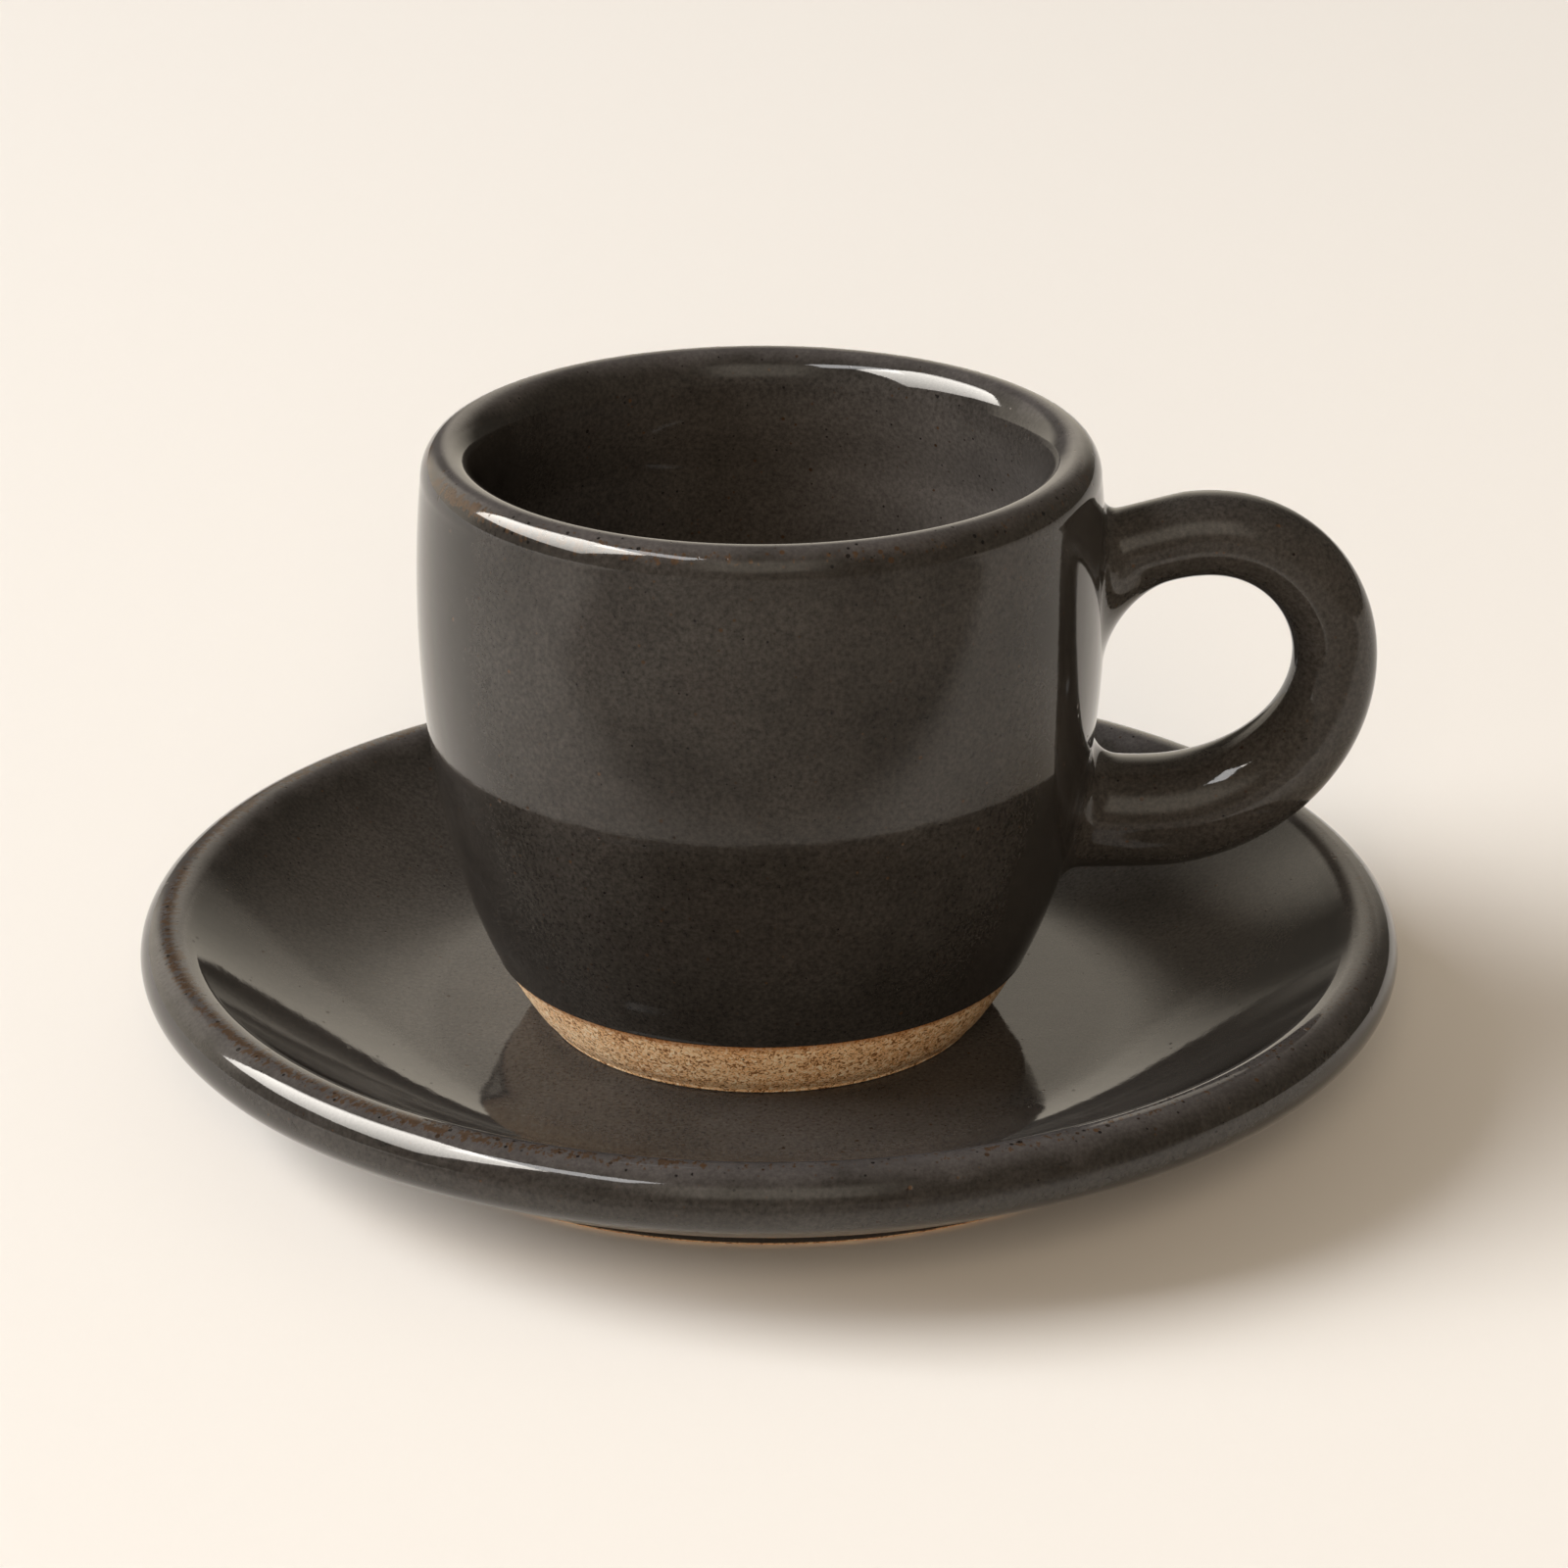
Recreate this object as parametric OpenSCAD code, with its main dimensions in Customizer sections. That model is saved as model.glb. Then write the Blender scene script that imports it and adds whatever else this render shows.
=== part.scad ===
// Stoneware espresso cup on its saucer, in millimetres, +Z up.
// The origin is the middle of the saucer's underside, on the table. The handle points along +X.

/* [Cup] */
// Height of the cup, from the face it stands on to its rim
cup_h = 56.7; // [52:0.1:62]
// Diameter of the cup across the middle of its rolled rim's outside
mouth_d = 63; // [60:0.1:66]
// Diameter of the cup where it stands
cup_foot_d = 42.6; // [38:0.1:45]
// Radius towards which the wall swells above the foot
swell_r = 35.9; // [34:0.1:37]
// Height above the foot at which that swell pulls
swell_h = 18.7; // [16:0.1:22]
// Thickness of the rolled rim
rim_t = 5.3; // [4.8:0.1:6]
// Distance from the rim's outer side in to its highest line
crest_in = 2.35; // [2:0.05:2.6]
// Height of the rim's round top above its inner side
rim_crown = 3.8; // [2.6:0.1:4.6]
// Height of the rim's round top above its outer side
rim_shoulder = 3; // [1.9:0.1:3.6]
// Thickness of the cup's wall below the rim
wall_t = 4.1; // [3.4:0.1:4.8]
// Height over which the wall thickens into the rim
rim_blend = 9; // [5:0.5:14]
// Height of the inside floor above the face the cup stands on
cup_floor_h = 9; // [8.2:0.1:11]
// Height of the hollow curve from the wall to the inside floor
cove_h = 9; // [6:0.5:12]
// Width of that curve
cove_w = 11; // [8:0.5:14]
// Thickness of the glaze where it ends above the bare foot
glaze_t = 0.25; // [0.15:0.05:0.4]

/* [Cup foot] */
// Height of the bare clay band that the glaze leaves free
band_h = 6.8; // [5:0.1:7.6]
// Width of the ring on which the cup stands
stand_w = 4.4; // [3:0.1:6]
// Depth turned out of the foot inside that ring
cup_recess = 1.8; // [1:0.1:2.6]
// Slope, in width, of the turned recess's side
recess_slope = 1.2; // [0.6:0.1:2]
// Rounding of the foot's lower edge
foot_edge = 0.3; // [0.2:0.1:1]

/* [Handle] */
// Distance from the cup's axis to the outside of the handle's bow
handle_reach = 57.8; // [54:0.1:60]
// Height of the top of the handle's upper arm above the cup's foot
handle_top = 51.6; // [49:0.1:53]
// Height of the underside of the handle's lower arm above the cup's foot
handle_bottom = 14.4; // [13:0.1:17]
// Thickness of the handle over its top and its bow
thin_d = 7.9; // [6.5:0.1:9]
// Thickness of the handle's lower arm
thick_d = 10.6; // [9:0.1:12]
// Distance from the cup's axis to the highest point of the handle
crown_x = 42; // [40:0.1:44]
// Height of the bow's outermost point above the cup's foot
bow_h = 35.4; // [33:0.1:38]
// Distance from the cup's axis to where the lower arm becomes level
level_x = 36; // [34.5:0.1:38]
// Height of the middle of the upper arm where it meets the wall
root_h = 45.5; // [44:0.1:46.5]
// Run of the upper arm's end, towards the wall, that is straight
root_run = 4; // [3:0.1:5]
// Rise of that straight end
root_rise = 1; // [0.5:0.1:1.5]
// Width of the handle's section as a share of its thickness
section_share = 1.08; // [1:0.01:1.2]
// Fillet above the upper arm, where it meets the wall
top_fillet = 1.6; // [1:0.1:2.4]
// Fillet below the upper arm, inside the loop
loop_fillet = 7; // [4:0.1:8]
// Fillet above the lower arm, inside the loop
heel_fillet = 3.4; // [2:0.1:4.5]
// Fillet below the lower arm
under_fillet = 1.8; // [1:0.1:2.6]
// Thin layer of slip between the handle's ends and the wall
slip_t = 0.05; // [0.04:0.01:0.1]

/* [Saucer] */
// Diameter of the saucer
saucer_d = 120; // [114:0.5:130]
// Height of the saucer
saucer_h = 15.8; // [14.5:0.1:18]
// Thickness of the saucer's round lip
lip_t = 6.2; // [5.4:0.1:7]
// Diameter of the flat well on which the cup stands
well_d = 64; // [60:0.5:66]
// Height of the well above the table
well_h = 5; // [4.6:0.1:6]
// Distance over which the bowl leaves the well gently
bowl_run = 10; // [7:0.5:12]
// Length of the steep end of the bowl below the lip
bowl_rise = 4; // [2:0.1:6]
// Length of the underside's straight end below the lip
under_run = 5; // [3:0.1:7]
// Distance over which the underside leaves the foot ring
under_out = 5.4; // [3:0.1:7]
// Rise of the underside over that distance
under_rise = 1.3; // [0.8:0.1:2]

/* [Saucer foot] */
// Outer diameter of the saucer's foot ring
ring_d = 83.6; // [76:0.1:88]
// Width of the foot ring
ring_w = 5; // [4:0.1:7]
// Height of the foot ring
ring_h = 1.8; // [1.4:0.1:2.2]
// Rounding of the foot ring's edges
ring_edge = 0.6; // [0.4:0.1:0.7]

/* [Place] */
// How far the loose cup stands off the saucer's middle, away from the handle
cup_shift = 0.7; // [0:0.1:1.5]

/* [Hidden] */
$fn = 96;

glaze_colour = [0.22, 0.20, 0.18];
clay_colour = [0.70, 0.57, 0.44];

wall_steps = 40;
arc_steps = 14;
cove_steps = 10;
bowl_steps = 24;
ring_sides = 32;
bow_steps = 16;
root_steps = 5;
fillet_steps = 9;
cap_rings = 4;

mouth_r = mouth_d / 2;
rim_z = cup_h - rim_crown;
shoulder_z = cup_h - rim_shoulder;
lip_r = lip_t / 2;
lip_centre = [saucer_d / 2 - lip_r, saucer_h - lip_r];

// angles on the round lip at which the bowl and the underside leave it
bowl_angle = 128;
under_angle = -60;

// share of a quarter round that a handle fillet keeps, so that its edge on the wall is not a knife
seat_share = 0.9;

// how fast the inner fillet gives way to the outer one, round the side of the handle
fillet_turn = 2;

// a value part of the way from a to b
function mix(a, b, t) = a + (b - a) * t;

// a share of the way, eased at both ends
function ease(t) = let(u = min(1, max(0, t))) u * u * (3 - 2 * u);

// points along a cubic curve through four control points
function curve(p, steps, first = 0) = [
    for (i = [first:steps])
        let(t = i / steps, s = 1 - t)
            s * s * s * p[0] + 3 * s * s * t * p[1] + 3 * s * t * t * p[2] + t * t * t * p[3]
];

// points along an elliptical arc from angle a to angle b
function arc(centre, rx, rz, a, b, steps, first = 0) = [
    for (i = [first:steps])
        let(u = mix(a, b, i / steps))
            centre + [rx * cos(u), rz * sin(u)]
];

// the cup's outside, from the foot to the rim's widest ring, as [radius, height]
wall = curve([
    [cup_foot_d / 2, 0],
    [swell_r, swell_h],
    [mouth_r, shoulder_z - glaze_t],
    [mouth_r, shoulder_z]
], wall_steps);

wall_table = [for (p = wall) [p[1], p[0]]];

function wall_r(z) = lookup(z, wall_table);

// the cup's inside: the outside less the wall's thickness, drawn in towards the rim's inner side
function inner_r(z) = mix(wall_r(z) - wall_t, mouth_r - rim_t, ease((z - rim_z + rim_blend) / rim_blend));

cove_z = cup_floor_h + cove_h;
cove_lean = (inner_r(cove_z + cove_h) - inner_r(cove_z)) / cove_h;

cove = curve([
    [inner_r(cove_z), cove_z],
    [inner_r(cove_z) - cove_lean * cove_h / 2, cove_z - cove_h / 2],
    [inner_r(cove_z) - cove_lean * cove_h / 2 - cove_w / 3, cup_floor_h],
    [inner_r(cove_z) - cove_lean * cove_h / 2 - cove_w, cup_floor_h]
], cove_steps);

glaze_z = band_h + glaze_t;

body_outline = concat(
    [[0, band_h]],
    arc([wall_r(band_h) - glaze_t, glaze_z], wall_r(glaze_z) - wall_r(band_h) + glaze_t, glaze_t, -90, 0, 4),
    [for (p = wall) if (p[1] > glaze_z + glaze_t) p],
    arc([mouth_r - crest_in, shoulder_z], crest_in, rim_shoulder, 0, 90, arc_steps, 1),
    arc([mouth_r - crest_in, rim_z], rim_t - crest_in, rim_crown, 90, 180, arc_steps, 1),
    [for (i = [1:wall_steps - 1])
        let(z = mix(rim_z, cove_z, i / wall_steps))
            [inner_r(z), z]],
    cove,
    [[0, cup_floor_h]]
);

foot_r = cup_foot_d / 2 - glaze_t;
stand_in_r = foot_r - stand_w;

foot_outline = concat(
    [[0, cup_recess], [stand_in_r - recess_slope, cup_recess], [stand_in_r, 0]],
    arc([foot_r - foot_edge, foot_edge], foot_edge, foot_edge, -90, -30, 4),
    [for (p = wall) if (p[1] > foot_edge && p[1] < band_h - glaze_t) [p[0] - glaze_t, p[1]]],
    [[wall_r(band_h) - glaze_t, band_h], [0, band_h]]
);

// where a point across the handle meets the cup's wall, measured along X
function seat_x(y, z) = sqrt(wall_r(z) * wall_r(z) - y * y) + slip_t;

// the middle line of the handle, as [distance from the axis, height]
thin_r = thin_d / 2;
thick_r = thick_d / 2;
crown_z = handle_top - thin_r;
bow_x = handle_reach - thin_r;
level_z = handle_bottom + thick_r;
root_x = wall_r(root_h);

root_curve = curve([
    [root_x, root_h],
    [root_x + root_run, root_h + root_rise],
    [crown_x - root_run, crown_z],
    [crown_x, crown_z]
], root_steps * 2);

spine = concat(
    [for (p = root_curve) if (p[0] > root_x + loop_fillet) p],
    arc([crown_x, bow_h], bow_x - crown_x, crown_z - bow_h, 90, 0, bow_steps, 1),
    arc([level_x, bow_h], bow_x - level_x, bow_h - level_z, 0, -90, bow_steps, 1)
);

spine_last = len(spine) - 1;

// thickness along the handle: thin over the crown and the bow, thick by the lower arm
lower_first = spine_last - bow_steps;

function spine_r(i) = mix(thin_r, thick_r, ease((i - lower_first + 2) / (bow_steps + 1)));

function spine_way(i) =
    let(d = spine[min(spine_last, i + 1)] - spine[max(0, i - 1)])
        d / norm(d);

// a flat ring of the handle round its middle line; side 0 is on the loop's outside
function flat_ring(i) =
    let(way = spine_way(i), r = spine_r(i))
        [for (k = [0:ring_sides - 1])
            let(a = 360 * k / ring_sides, up = r * cos(a))
                [spine[i][0] - way[1] * up, section_share * r * sin(a), spine[i][1] + way[0] * up]];

// a ring of a fillet that flares on to the wall; turn 1 lies on the wall and turn 0 ends the flare.
// The line gives the arm's height by its distance from the axis; side 1 is the upper arm, -1 the lower.
function flare_ring(turn, r, line, outer_f, inner_f, side) =
    [for (k = [0:ring_sides - 1])
        let(
            a = 360 * k / ring_sides,
            f = mix(outer_f, inner_f, pow((1 - cos(a)) / 2, fillet_turn)),
            u = asin(seat_share) * turn,
            out = r + f * (1 - cos(u)),
            off = f * (seat_share - sin(u)),
            y = section_share * out * sin(a),
            z = lookup(root_x + off, line) + side * out * cos(a)
        )
            [seat_x(y, z) + off, y, z]];

// a ring of the end that lies on the wall, shrunk towards its middle
function cap_ring(ring, share) =
    let(mid_z = (ring[0][2] + ring[ring_sides / 2][2]) / 2)
        [for (p = ring)
            let(y = p[1] * share, z = mix(mid_z, p[2], share))
                [seat_x(y, z), y, z]];

// the lower arm's middle line, level all the way from the wall
level_line = [[0, level_z], [handle_reach, level_z]];

root_flares = [for (j = [0:fillet_steps])
    flare_ring(1 - j / fillet_steps, thin_r, root_curve, top_fillet, loop_fillet, 1)];
heel_flares = [for (j = [0:fillet_steps])
    flare_ring(j / fillet_steps, thick_r, level_line, under_fillet, heel_fillet, -1)];

handle_rings = concat(
    [for (j = [0:cap_rings - 1]) cap_ring(root_flares[0], (j + 0.5) / cap_rings)],
    root_flares,
    [for (i = [0:spine_last]) flat_ring(i)],
    heel_flares,
    [for (j = [0:cap_rings - 1]) cap_ring(heel_flares[fillet_steps], (cap_rings - j - 0.5) / cap_rings)]
);

ring_last = len(handle_rings) - 1;

bowl_start = [well_d / 2, well_h];
bowl_end = lip_centre + lip_r * [cos(bowl_angle), sin(bowl_angle)];
under_start = [ring_d / 2, ring_h];
under_end = lip_centre + lip_r * [cos(under_angle), sin(under_angle)];

dish_outline = concat(
    [[0, well_h]],
    curve([
        bowl_start,
        bowl_start + [bowl_run, 0],
        bowl_end - bowl_rise * [sin(bowl_angle), -cos(bowl_angle)],
        bowl_end
    ], bowl_steps),
    arc(lip_centre, lip_r, lip_r, bowl_angle, under_angle, 2 * arc_steps, 1),
    curve([
        under_end,
        under_end + under_run * [sin(under_angle), -cos(under_angle)],
        under_start + [under_out, under_rise],
        under_start
    ], bowl_steps, 1),
    [[0, ring_h]]
);

ring_outline = concat(
    [[ring_d / 2 - ring_w, ring_h], [ring_d / 2 - ring_w, ring_edge]],
    arc([ring_d / 2 - ring_w + ring_edge, ring_edge], ring_edge, ring_edge, 180, 270, 4, 1),
    arc([ring_d / 2 - ring_edge, ring_edge], ring_edge, ring_edge, -90, 0, 4),
    [[ring_d / 2, ring_h]]
);

// puts a piece of the cup where the cup stands on the saucer
module on_saucer() {
    translate([-cup_shift, 0, well_h]) children();
}

// the glazed saucer: flat well, rising bowl and round lip
module saucer_dish() {
    color(glaze_colour) rotate_extrude() polygon(dish_outline);
}

// the ring on which the saucer stands, left bare underneath
module saucer_foot() {
    color(clay_colour) rotate_extrude() polygon(ring_outline);
}

// the bare clay foot of the cup, with its turned recess
module cup_foot() {
    color(clay_colour) on_saucer() rotate_extrude() polygon(foot_outline);
}

// the thrown and glazed cup, open at the top
module cup_body() {
    color(glaze_colour) on_saucer() rotate_extrude() polygon(body_outline);
}

// the pulled handle, a tapering bow whose flared ends lie on the wall
module cup_handle() {
    points = [for (ring = handle_rings) each ring];
    sides = [
        for (i = [0:ring_last - 1])
            for (k = [0:ring_sides - 1])
                let(
                    a = i * ring_sides + k,
                    b = i * ring_sides + (k + 1) % ring_sides
                )
                    each [[a, b, b + ring_sides], [a, b + ring_sides, a + ring_sides]]
    ];
    near_end = [for (k = [0:ring_sides - 1]) ring_sides - 1 - k];
    far_end = [for (k = [0:ring_sides - 1]) ring_last * ring_sides + k];
    color(glaze_colour) on_saucer() polyhedron(points, concat(sides, [near_end, far_end]));
}

saucer_dish();
saucer_foot();
cup_foot();
cup_body();
cup_handle();
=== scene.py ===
import math

import bpy
import numpy as np
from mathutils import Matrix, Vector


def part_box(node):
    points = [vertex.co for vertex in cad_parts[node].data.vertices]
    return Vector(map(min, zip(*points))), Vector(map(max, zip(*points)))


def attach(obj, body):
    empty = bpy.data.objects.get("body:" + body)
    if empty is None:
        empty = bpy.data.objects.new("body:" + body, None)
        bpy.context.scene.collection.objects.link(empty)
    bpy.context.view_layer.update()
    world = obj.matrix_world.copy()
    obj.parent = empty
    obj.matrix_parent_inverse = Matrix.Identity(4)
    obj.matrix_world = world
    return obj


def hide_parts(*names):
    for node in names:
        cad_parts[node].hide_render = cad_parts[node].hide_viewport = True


# A stoneware espresso cup on its saucer: five fired pieces, worked out as surfaces and glazed.
# The sizes in the dictionaries are millimetres, and the meshes are metres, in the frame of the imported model.

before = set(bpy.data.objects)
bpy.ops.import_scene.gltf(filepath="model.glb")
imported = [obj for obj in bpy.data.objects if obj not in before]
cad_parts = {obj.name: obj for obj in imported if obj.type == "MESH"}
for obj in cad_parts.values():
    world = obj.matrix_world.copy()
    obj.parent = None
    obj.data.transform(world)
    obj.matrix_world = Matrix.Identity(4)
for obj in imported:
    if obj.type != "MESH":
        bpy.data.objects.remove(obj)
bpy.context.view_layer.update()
mm = 0.001
print("frame loaded:", ", ".join(sorted(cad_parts)))


# Colours

def toLinear(hexColour):
    # sRGB hex to linear red, green, blue and a full alpha
    parts = [int(hexColour[i:i + 2], 16) / 255 for i in (1, 3, 5)]
    return tuple(c / 12.92 if c <= 0.04045 else ((c + 0.055) / 1.055) ** 2.4 for c in parts) + (1.0,)


# Lines and surfaces

def mix(a, b, share):
    # the value that lies this share of the way from a to b
    return a + (b - a) * share


def ease(share):
    # a share of the way that starts and ends gently: 3 s^2 - 2 s^3
    s = np.clip(share, 0, 1)
    return s * s * (3 - 2 * s)


def bendLine(points, count):
    # cubic curve through four control points: each point weighted by its share of (s + t)^3
    p = np.array(points, float)
    t = np.linspace(0, 1, count + 1)[:, None]
    s = 1 - t
    return s ** 3 * p[0] + 3 * s * s * t * p[1] + 3 * s * t * t * p[2] + t ** 3 * p[3]


def roundLine(centre, radiusX, radiusZ, fromAngle, toAngle, count):
    # elliptical arc: the centre plus each radius times the cosine or sine of a steadily turning angle
    a = np.radians(np.linspace(fromAngle, toAngle, count + 1))
    return np.column_stack([centre[0] + radiusX * np.cos(a), centre[1] + radiusZ * np.sin(a)])


def straightLine(start, end, count):
    # evenly spaced points from start to end
    return np.linspace(np.array(start, float), np.array(end, float), count + 1)


def joinLines(*lines):
    # the lines end to end, with points that lie on the one before left out
    joined = np.vstack(lines)
    step = np.linalg.norm(np.diff(joined, axis=0), axis=1)
    return joined[np.concatenate([[True], step > 1e-5])]


def runLength(line):
    # distance covered along a line up to each of its points
    return np.concatenate([[0], np.cumsum(np.linalg.norm(np.diff(line, axis=0), axis=1))])


def gridPoints(x, y, z):
    # x, y and z over a grid of places, listed with three numbers to a point
    return np.stack(np.broadcast_arrays(x, y, z), -1).reshape(-1, 3)


def addObject(name, data):
    # one object in the scene, at the origin
    made = bpy.data.objects.new(name, data)
    bpy.context.scene.collection.objects.link(made)
    return made


def makePiece(name, points, quads, triangles, attributes):
    # one smooth mesh object at the origin, in metres, with its per-point numbers stored on it
    mesh = bpy.data.meshes.new(name)
    mesh.from_pydata((points * mm).tolist(), [], np.asarray(quads).tolist() + np.asarray(triangles).tolist())
    mesh.polygons.foreach_set("use_smooth", np.ones(len(mesh.polygons), bool))
    for key, values in attributes.items():
        values = np.asarray(values, np.float32)
        kind = "FLOAT" if values.ndim == 1 else "FLOAT_VECTOR"
        layer = mesh.attributes.new(key, kind, "POINT")
        layer.data.foreach_set("value" if values.ndim == 1 else "vector", values.ravel())
    mesh.update()
    return addObject(name, mesh)


def wrapQuads(rows, columns, closedLoop=False):
    # four corners for each cell of a grid whose columns close on themselves, and whose rows do if asked
    row = np.arange(rows if closedLoop else rows - 1)[:, None]
    column = np.arange(columns)[None, :]
    nextRow = (row + 1) % rows
    nextColumn = (column + 1) % columns
    corners = [row * columns + column, row * columns + nextColumn,
               nextRow * columns + nextColumn, nextRow * columns + column]
    return np.stack([np.broadcast_to(c, (len(row), columns)) for c in corners], -1).reshape(-1, 4)


def closeEnds(rows, columns):
    # a fan of triangles over each end of such a grid, to the two points listed after the grid's own
    k = np.arange(columns)
    k2 = (k + 1) % columns
    near, far, lastRow = rows * columns, rows * columns + 1, (rows - 1) * columns
    return np.vstack([np.column_stack([k * 0 + near, k2, k]),
                      np.column_stack([k * 0 + far, lastRow + k, lastRow + k2])])


def throwOnWheel(name, line, centre, turns, spots, closedLoop=False, across=None):
    # An outline carried round the wheel's axis: x = r cos(a), y = r sin(a), z = height, over a grid of angle
    # and place on the outline. The outline runs so that the clay lies on its left, and its two ends on the
    # axis are a single point each. spots holds numbers from 0 to 1 for each place on the outline, for the
    # glaze to read: how thin it has run, how far it breaks, how deep it pools, which inside the cup and in the
    # saucer's well is partly painted light. across holds functions of x that multiply them.
    angle = np.linspace(0, 2 * math.pi, turns, endpoint=False)[None, :]
    inner = line if closedLoop else line[1:-1]
    attributes = {key: np.repeat(values if closedLoop else values[1:-1], turns)
                  for key, values in spots.items()}
    run = runLength(line) if closedLoop else runLength(line)[1:-1]
    radius, height = inner[:, :1], inner[:, 1:]
    points = gridPoints(radius * np.cos(angle), radius * np.sin(angle), height)
    reach = line[:, 0].max()
    flow = gridPoints(reach * np.cos(angle), reach * np.sin(angle), run[:, None])
    quads = wrapQuads(len(inner), turns, closedLoop)
    triangles = np.zeros((0, 3), int)
    if not closedLoop:
        points = np.vstack([points, [[0, 0, line[0, 1]], [0, 0, line[-1, 1]]]])
        flow = np.vstack([flow, [[0, 0, 0], [0, 0, runLength(line)[-1]]]])
        attributes = {key: np.concatenate([values, spots[key][[0, -1]]])
                      for key, values in attributes.items()}
        attributes.update({key: attributes[key] * share(points[:, 0])
                           for key, share in (across or {}).items()})
        triangles = closeEnds(len(inner), turns)
    return makePiece(name, points + np.array(centre), quads, triangles, {"flow": flow, **attributes})


# Where things stand, from the frame

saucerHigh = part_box("saucer_dish")[1]
footLow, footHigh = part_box("cup_foot")
cupCentre = ((footLow.x + footHigh.x) / 2 / mm, 0.0, footLow.z / mm)
saucerRadius = saucerHigh.x / mm
turnsOnWheel = 320


# The cup

cupShape = {
    "height": (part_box("cup_body")[1].z - footLow.z) / mm,
    "mouthRadius": 31.5,      # middle of the rolled rim's outside
    "footRadius": 21.3,
    "swellRadius": 35.9,      # the belly is pulled towards this radius
    "swellHeight": 18.7,
    "rimThickness": 5.3,
    "crestDepth": 2.35,       # from the rim's outer side in to its highest line
    "rimCrown": 3.8,          # height of the rim's round top above its inner side
    "rimShoulder": 3.0,       # and above its outer side
    "wallThickness": 4.1,
    "rimBlend": 9.0,
    "floorHeight": 9.0,       # inside floor
    "coveHeight": 9.0,
    "coveWidth": 11.0,
    "glazeThickness": 0.25,
    "bandHeight": 6.8,        # bare clay below the glaze
    "thinWidth": 2.6,         # how far from the crest the glaze has run thin
    "breakWidth": 1.0,        # and how far it breaks brown from a line
    "breakOut": 1.6,          # that lies this far outside the crest
    "breakDown": 0.85,        # and this far below it
    "poolDepth": 8.0,         # below the rim's top, where the glaze inside lies thick and paler, partly painted light
    "litSideReach": 28.0,        # painted light: paler towards the inner wall at the handle, where the key light falls, from this far on the other side
    "litSidePower": 1.2,
}

rimHeight = cupShape["height"] - cupShape["rimCrown"]
shoulderHeight = cupShape["height"] - cupShape["rimShoulder"]
wallLine = bendLine([
    (cupShape["footRadius"], 0),
    (cupShape["swellRadius"], cupShape["swellHeight"]),
    (cupShape["mouthRadius"], shoulderHeight - cupShape["glazeThickness"]),
    (cupShape["mouthRadius"], shoulderHeight)], 600)


def wallRadius(height):
    # radius of the cup's outside at a height above its foot
    return np.interp(height, wallLine[:, 1], wallLine[:, 0])


def insideRadius(height):
    # the outside less the wall's thickness, drawn in towards the inner side of the rolled rim
    blend = cupShape["rimBlend"]
    return mix(wallRadius(height) - cupShape["wallThickness"],
               cupShape["mouthRadius"] - cupShape["rimThickness"], ease((height - rimHeight + blend) / blend))


def cupOutline():
    # underside, rounded glaze edge, outside wall, rolled rim, inside wall, cove and floor
    s = cupShape
    band, skin = s["bandHeight"], s["glazeThickness"]
    edgeRadius = wallRadius(band + skin)
    wallHeights = np.linspace(band + skin, shoulderHeight, 110)
    crest = s["mouthRadius"] - s["crestDepth"]
    coveTop = s["floorHeight"] + s["coveHeight"]
    lean = (insideRadius(coveTop + s["coveHeight"]) - insideRadius(coveTop)) / s["coveHeight"]
    coveLeft = insideRadius(coveTop) - lean * s["coveHeight"] / 2
    insideHeights = np.linspace(rimHeight, coveTop, 80)
    return joinLines(
        straightLine((0, band), (edgeRadius - 1.5 * skin, band), 12),
        roundLine((edgeRadius - skin, band + skin), skin, skin, -90, 0, 6),
        np.column_stack([wallRadius(wallHeights), wallHeights]),
        roundLine((crest, shoulderHeight), s["crestDepth"], s["rimShoulder"], 0, 90, 24),
        roundLine((crest, rimHeight), s["rimThickness"] - s["crestDepth"], s["rimCrown"], 90, 180, 24),
        np.column_stack([insideRadius(insideHeights), insideHeights]),
        bendLine([
            (insideRadius(coveTop), coveTop),
            (coveLeft, coveTop - s["coveHeight"] / 2),
            (coveLeft - s["coveWidth"] / 3, s["floorHeight"]),
            (coveLeft - s["coveWidth"], s["floorHeight"])], 30),
        straightLine((coveLeft - s["coveWidth"], s["floorHeight"]), (0, s["floorHeight"]), 14))


def thinAlong(line, spot, width):
    # 1 at a spot of the outline and less away from it, as exp(-(distance / width)^2)
    return np.exp(-(np.linalg.norm(line - np.array(spot), axis=1) / width) ** 2)


cupLine = cupOutline()
rimCrest = (cupShape["mouthRadius"] - cupShape["crestDepth"], cupShape["height"])
rimBreak = (rimCrest[0] + cupShape["breakOut"], rimCrest[1] - cupShape["breakDown"])
insideOfCup = np.arange(len(cupLine)) > np.argmax(cupLine[:, 1])


def paintedLightAcross(x):
    # painted light: 0 on the side away from the handle, where the inside lies in shade, to 1 at the handle,
    # where the key light falls on the inner wall: ((1 + x / reach) / 2)^power
    return (0.5 + 0.5 * np.clip(x / cupShape["litSideReach"], -1, 1)) ** cupShape["litSidePower"]


# the pale tone inside is partly thicker glaze and partly painted light, paler towards the lit inner wall at
# the handle
cupBody = throwOnWheel("cupBody", cupLine, cupCentre, turnsOnWheel, {
    "thin": thinAlong(cupLine, rimCrest, cupShape["thinWidth"]),
    "edge": thinAlong(cupLine, rimBreak, cupShape["breakWidth"]),
    "pool": ease((rimCrest[1] - cupLine[:, 1]) / cupShape["poolDepth"]) * insideOfCup},
    across={"pool": paintedLightAcross})
print("cup body thrown:", len(cupBody.data.polygons), "faces")


# The cup's bare foot

footShape = {
    "standWidth": 4.4,
    "recess": 1.8,
    "recessSlope": 1.2,
    "edge": 0.3,              # rounding of the lower edge
    "softCorner": 0.2,
    "drawnIn": 1.5,           # height over which the wall's foot is drawn in to the standing ring
}


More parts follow.
